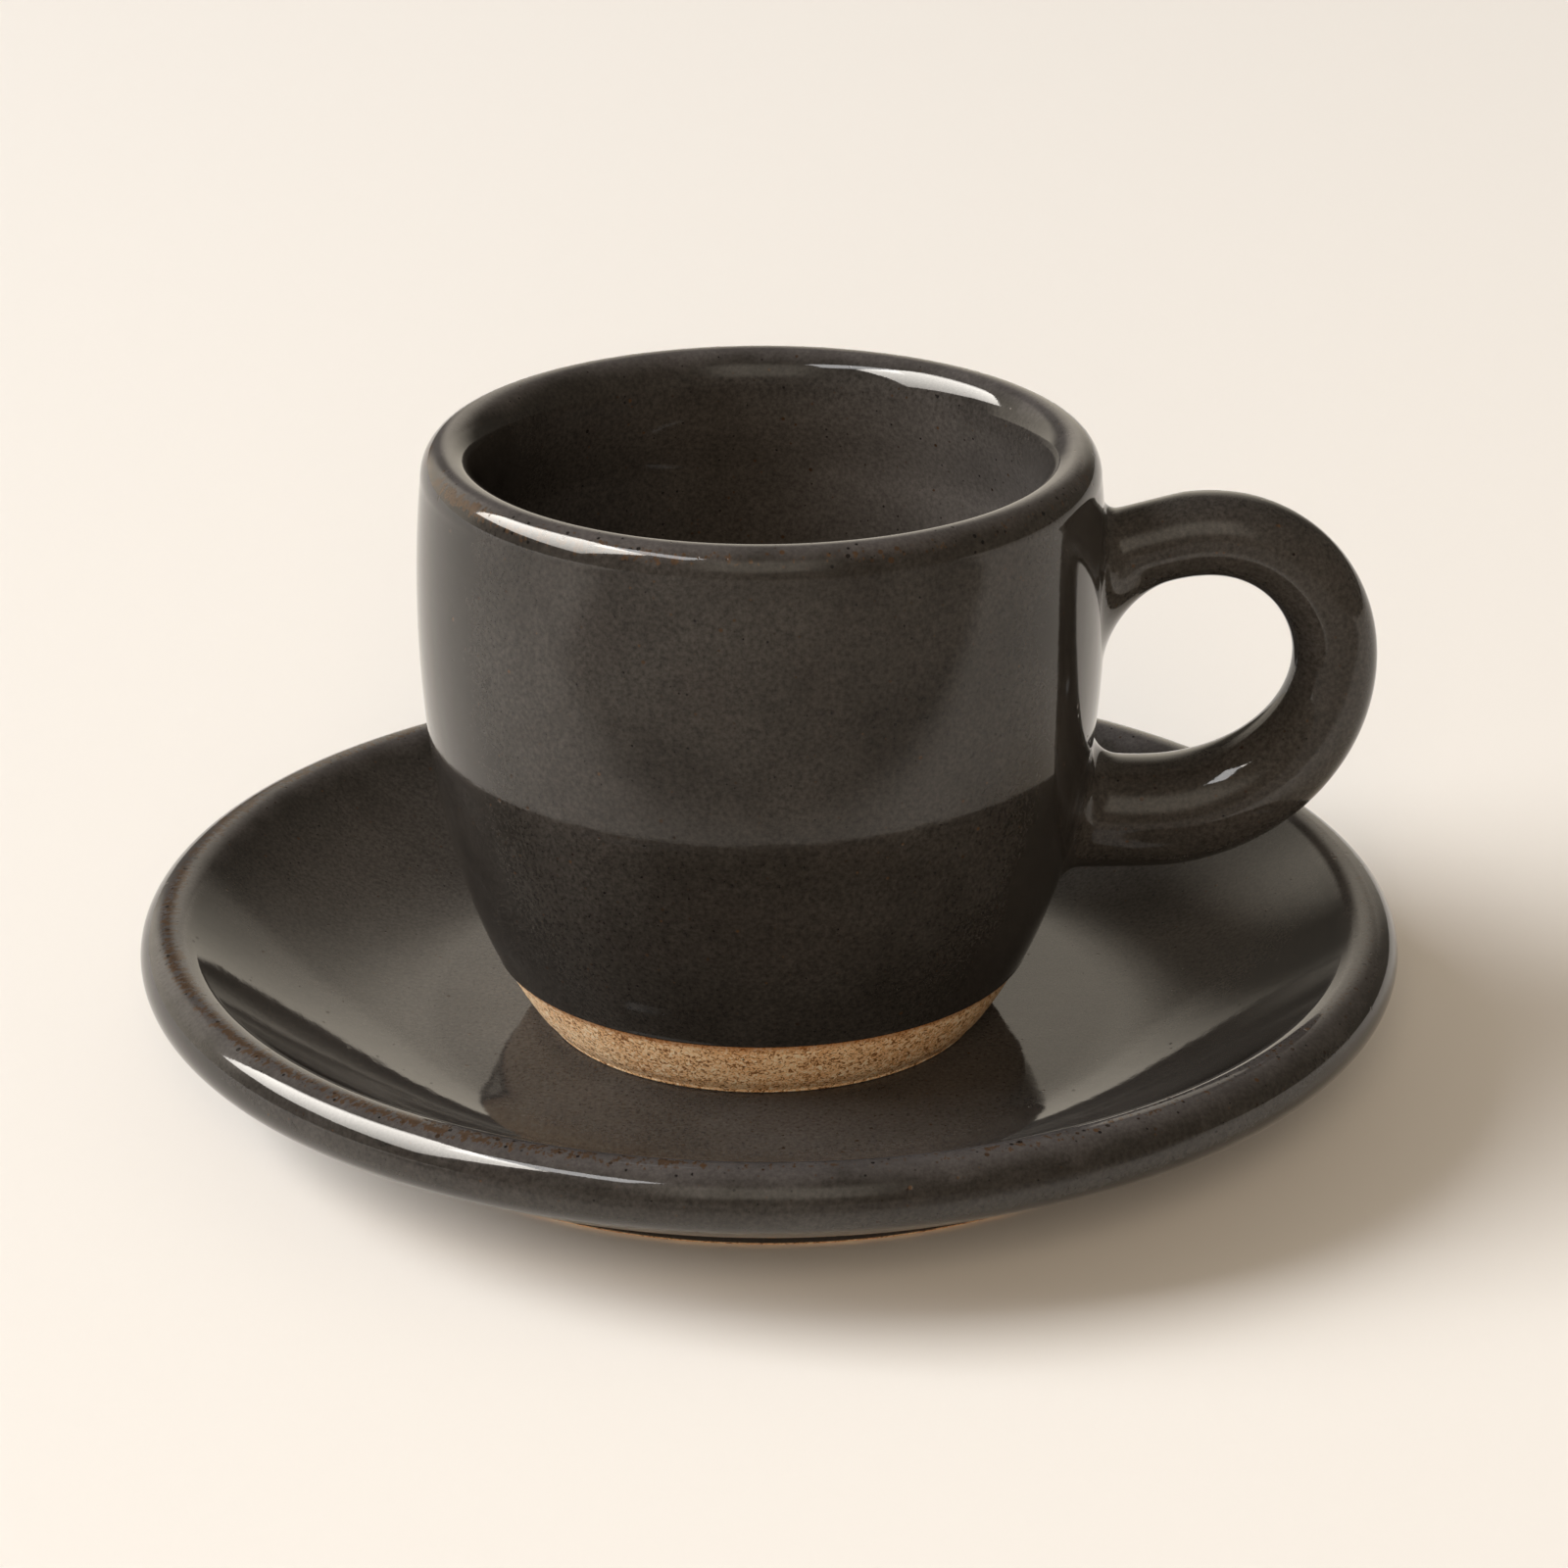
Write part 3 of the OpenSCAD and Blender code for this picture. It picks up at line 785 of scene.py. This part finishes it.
for piece, body, node, slot, material in (
        (cupBody, "cup", "cup_body", "cup_glaze", charcoalGlaze),
        (cupHandle, "cup", "cup_handle", "handle_glaze", charcoalGlaze),
        (cupFoot, "cup", "cup_foot", "cup_clay", bareStoneware),
        (saucerDish, "saucer", "saucer_dish", "saucer_glaze", charcoalGlaze),
        (saucerFoot, "saucer", "saucer_foot", "saucer_clay", bareStoneware)):
    piece.data.materials.append(material)
    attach(piece, body)
    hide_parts(node)


# Floor, light and camera

studio = {
    "floorColour": "#f6f1e6",
    "floorHalf": 3.0,         # metres
    "floorRoughness": 0.9,
    "floorShine": 0.2,
    "fillColour": "#fff4e6",  # light that comes from all round
    "fillStrength": 0.21,
    "mirrorColour": "#f6ebd8",   # the room that the glaze mirrors in its place,
    "roomGlow": 0.12,         # dark to the sides, above and towards the camera,
    "backGlow": 1.0,          # with a pale backdrop straight behind
    "backPatch": ((-0.24, 0.0, 0.04, 0.5), (0.0, 0.3), (0.75, 0.4)),
    "leftGlow": 1.05,         # and a pale wall behind on the left,
    "leftPatch": ((-1.1, -0.9, -0.50, -0.33), (0.15, 0.4, 1.0, 1.1), (-0.2, -0.1, 0.35, 0.8)),
    "horizonGlow": 0.27,      # more light low down straight behind,
    "horizonPatch": ((-0.26, -0.14, 0.35, 0.55), (0.3, 0.5, 1.0, 1.1), (-0.2, -0.1, 0.28, 0.36)),
    "frontGlow": 1.1,         # a soft glow over the camera
    "frontPatch": ((-0.45, -0.15, 0.15, 0.45), (-1.2, -1.1, -0.7, -0.3), (0.25, 0.5, 0.75, 0.95)),
    "frontShadeInMirror": 0.30,       # and the table painted darker in front for reflections only, a painted shade in a wedge that
    "frontApex": 0.06,        # opens from this place on Y, in metres,
    "frontSlopes": (-1.3, -0.85, 1.7, 2.6),
    "frontReach": (-9, -8, -0.10, -0.065),
    # each place is a heading and a height in degrees and a distance in metres, power is in watts, and glow
    # is the radiance of a card that is only mirrored
    "key": {"place": (184, 34.5, 4.0), "size": (2.5, 2.7), "power": 218.0, "colour": "#f5f7ff"},
    "front": {"place": (-91, 26, 3.0), "size": (2.0, 1.2), "power": 46.0, "colour": "#ffead5"},
    "card": {"place": (181, 41, 2.45), "size": (1.5, 2.25), "glow": 26.0, "colour": "#fffaf2"},
    "cardDown": (1.0, 0.4),   # its glow from its top to its bottom,
    "cardAlong": (1.1, 0.7),  # from its back end to its front end,
    "cardCorner": (0.3, 0.5),   # and the slanting edge that masks its top back corner
    "wing": {"place": (216, 57, 2.4), "size": (0.38, 1.25), "glow": 8.32, "colour": "#ffffff"},
    "lastMirror": 1.5,        # the card and the glow over the camera show in first reflections only
}


def within(tree, feed, edges):
    # 1 between the two middle edges, 0 outside the outer ones, and eased between
    rise = addNode(tree, "MapRange", {"Value": feed, "From Min": edges[0], "From Max": edges[1]},
                   interpolation_type="SMOOTHSTEP").outputs[0]
    fall = addNode(tree, "MapRange", {"Value": feed, "From Min": edges[3], "From Max": edges[2]},
                   interpolation_type="SMOOTHSTEP").outputs[0]
    return addNode(tree, "Math", {0: rise, 1: fall}, operation="MULTIPLY").outputs[0]


def makeFloorPaint():
    # Matt cream wall paint, rolled: even, with hardly any shine. Painted shade: in reflections only, a wedge
    # of its front part is darker.
    paint = bpy.data.materials.new("matt cream paint")
    tree = emptyTree(paint)
    onFloor = addNode(tree, "SeparateXYZ", {0: addNode(tree, "TexCoord", {}).outputs["Object"]})
    fromApex = addNode(tree, "Math", {0: studio["frontApex"], 1: onFloor.outputs[1]},
                       operation="SUBTRACT").outputs[0]
    slope = addNode(tree, "Math", {0: onFloor.outputs[0], 1: fromApex}, operation="DIVIDE").outputs[0]
    inFront = addNode(tree, "Math", {
        0: within(tree, slope, studio["frontSlopes"]),
        1: within(tree, onFloor.outputs[1], studio["frontReach"])}, operation="MULTIPLY").outputs[0]
    # painted shade: only in reflections, the front wedge of the table is darkened
    mirrorShadeMask = addNode(tree, "Math", {
        0: inFront, 1: addNode(tree, "LightPath", {}).outputs["Is Glossy Ray"]},
        operation="MULTIPLY").outputs[0]
    pale = toLinear(studio["floorColour"])
    dark = [channel * studio["frontShadeInMirror"] for channel in pale[:3]] + [1]
    colour = addNode(tree, "Mix", {0: mirrorShadeMask, 6: pale, 7: dark}, data_type="RGBA").outputs[2]
    shader = addNode(tree, "BsdfPrincipled", {
        "Base Color": colour, "Roughness": studio["floorRoughness"],
        "Specular IOR Level": studio["floorShine"]})
    addNode(tree, "OutputMaterial", {"Surface": shader.outputs[0]})
    return paint


floorMesh = bpy.data.meshes.new("floor")
half = studio["floorHalf"]
floorCorners = [(-half, -half, 0), (half, -half, 0), (half, half, 0), (-half, half, 0)]
floorMesh.from_pydata(floorCorners, [], [(0, 1, 2, 3)])
floorMesh.materials.append(makeFloorPaint())
addObject("floor", floorMesh)

world = bpy.data.worlds.new("studio")
bpy.context.scene.world = world
worldTree = emptyTree(world)
lightPath = addNode(worldTree, "LightPath", {})
lookingAt = addNode(worldTree, "SeparateXYZ", {0: addNode(worldTree, "TexCoord", {}).outputs["Generated"]})


def glowPatch(level, patch):
    # a soft patch of light on the walls of the room, bounded along the three axes of the direction
    inPlan = addNode(worldTree, "Math", {0: within(worldTree, lookingAt.outputs[0], patch[0]),
                                         1: within(worldTree, lookingAt.outputs[1], patch[1])},
                     operation="MULTIPLY").outputs[0]
    inside = addNode(worldTree, "Math", {0: inPlan, 1: within(worldTree, lookingAt.outputs[2], patch[2])},
                     operation="MULTIPLY").outputs[0]
    return addNode(worldTree, "Math", {0: inside, 1: level}, operation="MULTIPLY").outputs[0]


backAcross, backAlong, backUp = studio["backPatch"]
behind = within(worldTree, lookingAt.outputs[0], backAcross)
beyond = addNode(worldTree, "MapRange", {
    "Value": lookingAt.outputs[1], "From Min": backAlong[0], "From Max": backAlong[1]}).outputs[0]
below = addNode(worldTree, "MapRange", {
    "Value": lookingAt.outputs[2], "From Min": backUp[0], "From Max": backUp[1]},
    interpolation_type="SMOOTHSTEP").outputs[0]
behindBelow = addNode(worldTree, "Math", {0: behind, 1: below}, operation="MULTIPLY").outputs[0]
backShare = addNode(worldTree, "Math", {0: behindBelow, 1: beyond}, operation="MULTIPLY").outputs[0]
mirrorLevel = addNode(worldTree, "Mix", {0: backShare, 2: studio["roomGlow"],
                                         3: studio["backGlow"]}).outputs[0]
for side in ("left", "horizon"):
    patch = glowPatch(studio[side + "Glow"], studio[side + "Patch"])
    mirrorLevel = addNode(worldTree, "Math", {0: mirrorLevel, 1: patch}, operation="ADD").outputs[0]
onceMirrored = addNode(worldTree, "Math", {0: lightPath.outputs["Glossy Depth"], 1: studio["lastMirror"]},
                       operation="LESS_THAN").outputs[0]
mirrorLevel = addNode(worldTree, "Math", {
    0: glowPatch(studio["frontGlow"], studio["frontPatch"]), 1: onceMirrored, 2: mirrorLevel},
    operation="MULTIPLY_ADD").outputs[0]
roomFill = addNode(worldTree, "Background", {"Color": toLinear(studio["fillColour"]),
                                             "Strength": studio["fillStrength"]})
roomMirror = addNode(worldTree, "Background", {"Color": toLinear(studio["mirrorColour"]),
                                               "Strength": mirrorLevel})
paleBack = addNode(worldTree, "Background", {"Color": toLinear(studio["floorColour"]), "Strength": 1.0})
mirrorMix = addNode(worldTree, "MixShader", {0: lightPath.outputs["Is Glossy Ray"], 1: roomFill.outputs[0],
                                             2: roomMirror.outputs[0]})
worldMix = addNode(worldTree, "MixShader", {0: lightPath.outputs["Is Camera Ray"], 1: mirrorMix.outputs[0],
                                            2: paleBack.outputs[0]})
addNode(worldTree, "OutputWorld", {"Surface": worldMix.outputs[0]})
print("floor and room set")


def addSoftbox(name, look):
    # A rectangle of light, turned towards the cup. With a power it lights the clay and shows in no
    # reflection. With a glow it is a card that the glaze mirrors and that lights nothing else, and its watts
    # are glow times pi times area.
    lamp = bpy.data.lights.new(name, "AREA")
    lamp.shape = "RECTANGLE"
    width, depth = look["size"]
    lamp.size, lamp.size_y = width, depth
    lamp.energy = look["power"] if "power" in look else look["glow"] * math.pi * width * depth
    lamp.color = toLinear(look["colour"])[:3]
    box = addObject(name, lamp)
    heading, height = math.radians(look["place"][0]), math.radians(look["place"][1])
    distance, aimHeight = look["place"][2], 0.03
    outward = distance * math.cos(height)
    box.location = (outward * math.cos(heading), outward * math.sin(heading),
                    aimHeight + distance * math.sin(height))
    box.rotation_euler = (0, math.pi / 2 - height, heading)
    box.visible_camera = False
    box.visible_glossy = "glow" in look
    box.visible_diffuse = "power" in look
    return box


def shadeCard(lamp):
    # the card glows most at the top and at its back end, as the product of three ramps over it
    tree = emptyTree(lamp)
    onCard = addNode(tree, "SeparateXYZ", {0: addNode(tree, "NewGeometry", {}).outputs["Parametric"]})
    fromTop, fromBack = onCard.outputs[0], onCard.outputs[1]
    downGlow = addNode(tree, "MapRange", {"Value": fromTop, "To Min": studio["cardDown"][0],
                                          "To Max": studio["cardDown"][1]}).outputs[0]
    alongGlow = addNode(tree, "MapRange", {"Value": fromBack, "To Min": studio["cardAlong"][0],
                                           "To Max": studio["cardAlong"][1]}).outputs[0]
    fromCorner = addNode(tree, "Math", {0: fromTop, 1: fromBack}, operation="ADD").outputs[0]
    cornerGlow = addNode(tree, "MapRange", {"Value": fromCorner, "From Min": studio["cardCorner"][0],
                                            "From Max": studio["cardCorner"][1]}).outputs[0]
    mirrors = addNode(tree, "LightPath", {}).outputs["Glossy Depth"]
    glow = addNode(tree, "Math", {0: mirrors, 1: studio["lastMirror"]}, operation="LESS_THAN").outputs[0]
    for ramp in (cornerGlow, alongGlow, downGlow):
        glow = addNode(tree, "Math", {0: glow, 1: ramp}, operation="MULTIPLY").outputs[0]
    emission = addNode(tree, "Emission", {"Strength": glow})
    addNode(tree, "OutputLight", {"Surface": emission.outputs[0]})


addSoftbox("key softbox", studio["key"])
addSoftbox("front fill", studio["front"])
keyCard = addSoftbox("key softbox as the glaze mirrors it", studio["card"])
shadeCard(keyCard.data)
addSoftbox("front end of the key softbox", studio["wing"])
print("lamps placed")

camera = addObject("camera", bpy.data.cameras.new("camera"))
cameraFit = {
    "elevation": 22.369,      # degrees above the table
    "distance": 453.98,
    "target": (1.411, 0.0, 27.368),
    "lens": 109.74,
    "sensor": 36,
    "nearest": 0.02,          # metres
    "furthest": 50,
}
tilt = math.radians(cameraFit["elevation"])
camera.data.lens = cameraFit["lens"]
camera.data.sensor_width = cameraFit["sensor"]
camera.data.clip_start = cameraFit["nearest"]
camera.data.clip_end = cameraFit["furthest"]
camera.location = [mm * v for v in (
    cameraFit["target"][0],
    cameraFit["target"][1] - cameraFit["distance"] * math.cos(tilt),
    cameraFit["target"][2] + cameraFit["distance"] * math.sin(tilt))]
camera.rotation_euler = (math.pi / 2 - tilt, 0, 0)
bpy.context.scene.camera = camera
bpy.context.scene.view_settings.view_transform = "Standard"
print("camera set")
